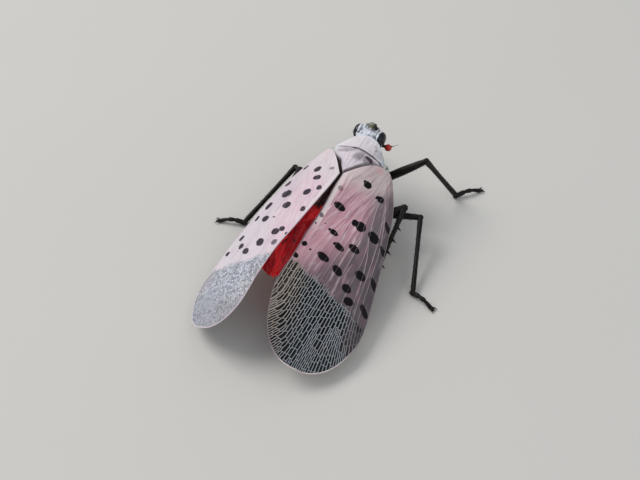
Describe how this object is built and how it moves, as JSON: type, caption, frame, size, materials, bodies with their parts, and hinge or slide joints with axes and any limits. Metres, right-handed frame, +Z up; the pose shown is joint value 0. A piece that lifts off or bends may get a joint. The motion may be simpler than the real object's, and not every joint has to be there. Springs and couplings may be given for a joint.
{
  "type": "spotted lanternfly",
  "caption": "Life-size adult planthopper standing on its feet, roof-like spotted forewings held open in a narrow V over red hindwings.",
  "frame": {"origin": "middle of the footprint of the whole insect, on the floor that its feet stand on", "axes": "+Z up from the floor, +Y from the head towards the wing tips, +X towards the insect's left side"},
  "size_m": [0.0238, 0.0324, 0.0086],
  "materials": {
    "forewing": "satin, pinkish grey membrane with black spots and a netted black tip",
    "hindwing": "satin, bright red membrane with dark spots",
    "pronotum": "matte, waxy pale lavender grey cuticle",
    "mesonotum": "matte, lilac grey cuticle with darker blotches",
    "head": "matte, waxy white cuticle with dark lines",
    "eye": "glossy black",
    "antenna": "satin orange red",
    "leg": "satin black brown cuticle",
    "thorax": "matte dark cuticle with pale wax",
    "abdomen": "satin yellow with broad black bands"
  },
  "bodies": {
    "root": {"abdomen": "abdomen", "antenna_left": "antenna", "antenna_right": "antenna", "eye_left": "eye", "eye_right": "eye", "fore_left_coxa": "leg", "fore_left_femur": "leg", "fore_left_tarsus": "leg", "fore_left_tibia": "leg", "fore_right_coxa": "leg", "fore_right_femur": "leg", "fore_right_tarsus": "leg", "fore_right_tibia": "leg", "forewing_left": "forewing", "forewing_right": "forewing", "head": "head", "hind_left_coxa": "leg", "hind_left_femur": "leg", "hind_left_tarsus": "leg", "hind_left_tibia": "leg", "hind_right_coxa": "leg", "hind_right_femur": "leg", "hind_right_tarsus": "leg", "hind_right_tibia": "leg", "hindwing_left": "hindwing", "hindwing_right": "hindwing", "mesonotum": "mesonotum", "mid_left_coxa": "leg", "mid_left_femur": "leg", "mid_left_tarsus": "leg", "mid_left_tibia": "leg", "mid_right_coxa": "leg", "mid_right_femur": "leg", "mid_right_tarsus": "leg", "mid_right_tibia": "leg", "pronotum": "pronotum", "rostrum": "leg", "tegula_left": "pronotum", "tegula_right": "pronotum", "thorax": "thorax"}
  },
  "joints": []
}
